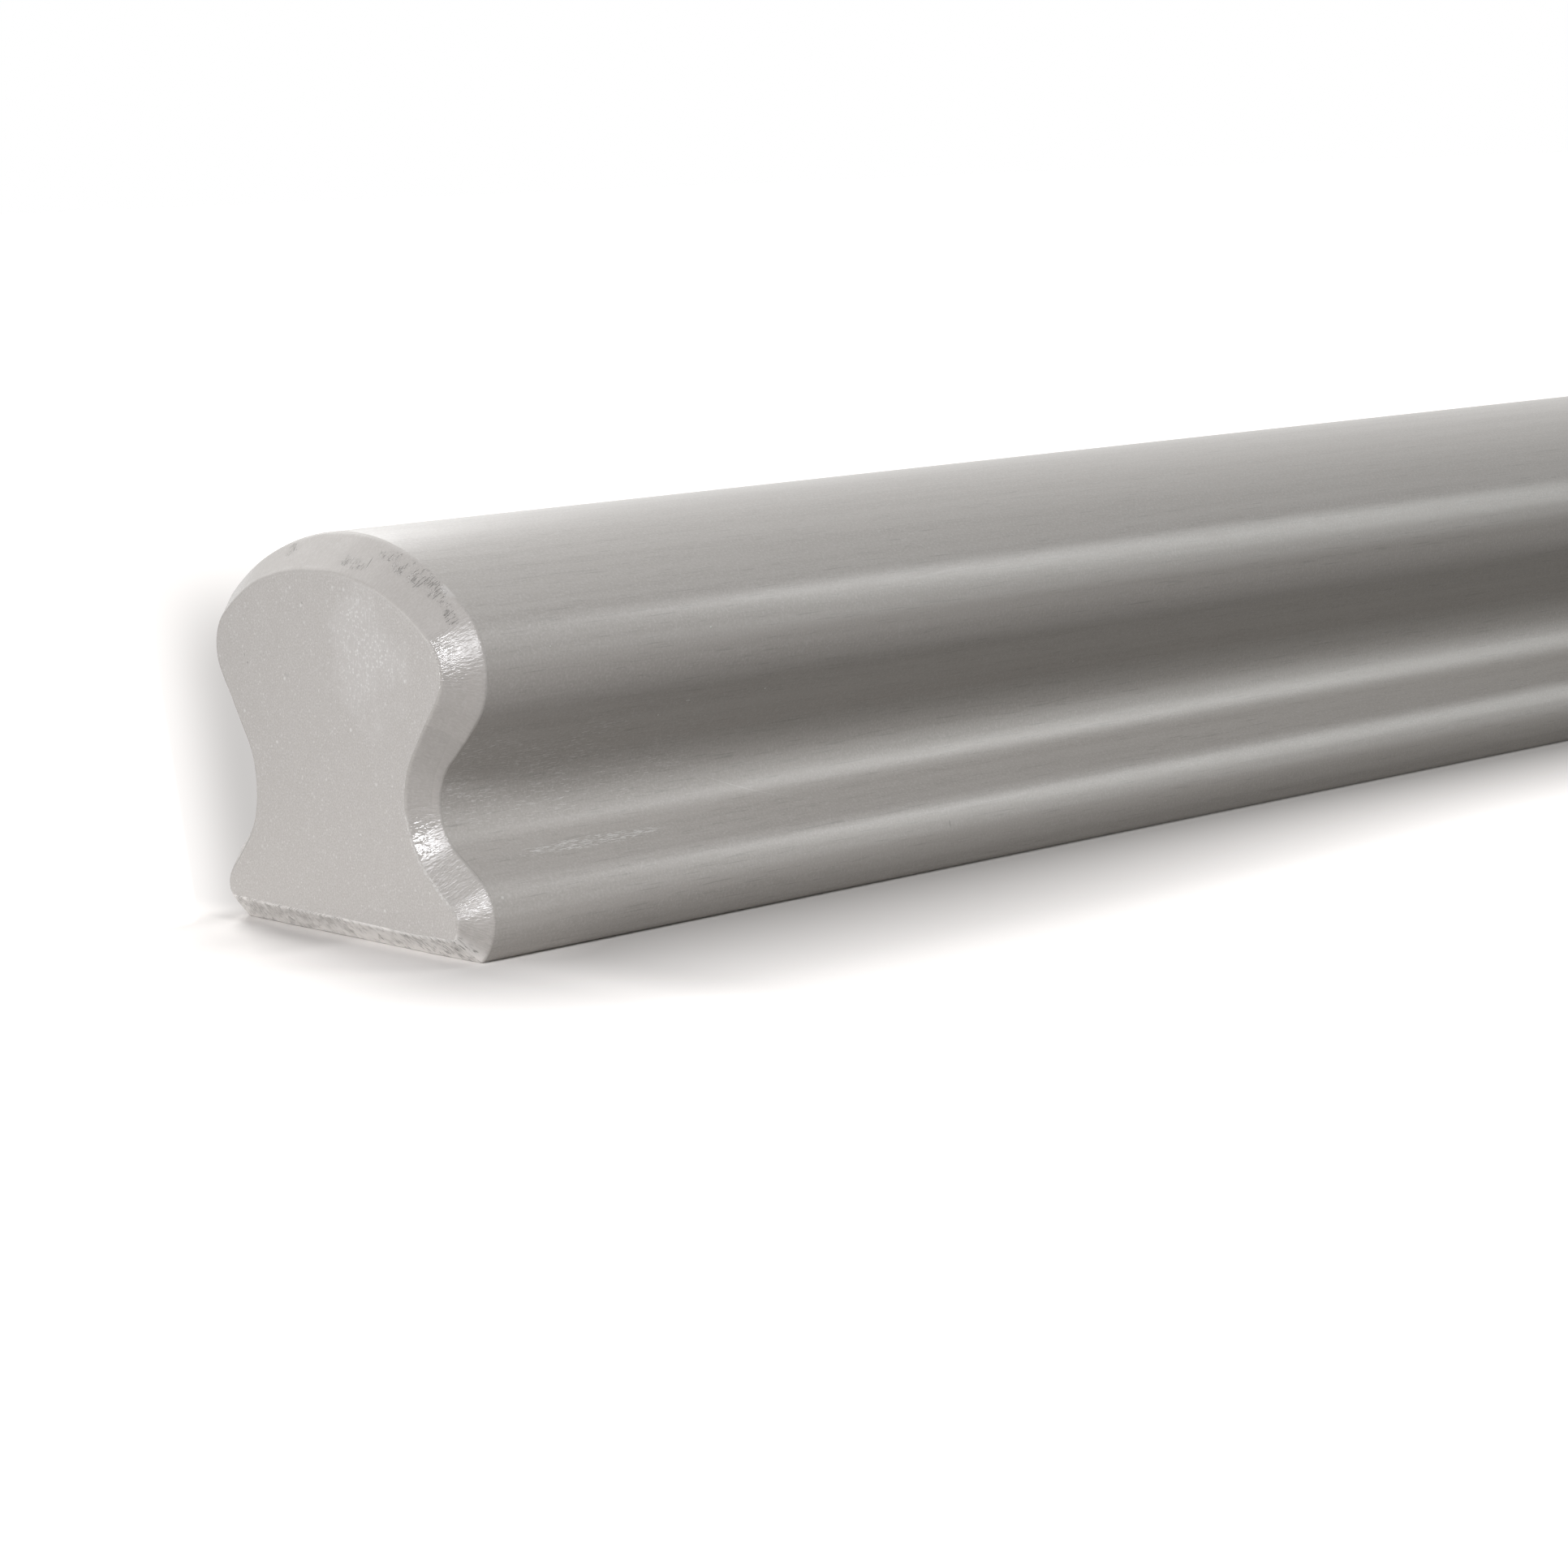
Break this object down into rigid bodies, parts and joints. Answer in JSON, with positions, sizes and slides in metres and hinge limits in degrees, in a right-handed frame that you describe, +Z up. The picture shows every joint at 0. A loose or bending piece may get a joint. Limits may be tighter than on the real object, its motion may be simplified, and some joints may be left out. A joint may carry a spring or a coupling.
{
  "type": "stair handrail length",
  "caption": "Straight length of moulded timber stair handrail with a domed grip, side coves, a flat underside and chamfered ends, painted warm grey.",
  "frame": {"origin": "middle of the flat underside", "axes": "+X along the rail, +Z up from the underside through the middle of the domed top; the section is symmetric about the XZ plane"},
  "size_m": [1.5, 0.057, 0.053],
  "materials": {
    "grey_paint": "satin warm-grey paint over the moulded timber, with a fine grain"
  },
  "bodies": {
    "root": {"handrail": "grey_paint"}
  },
  "joints": []
}
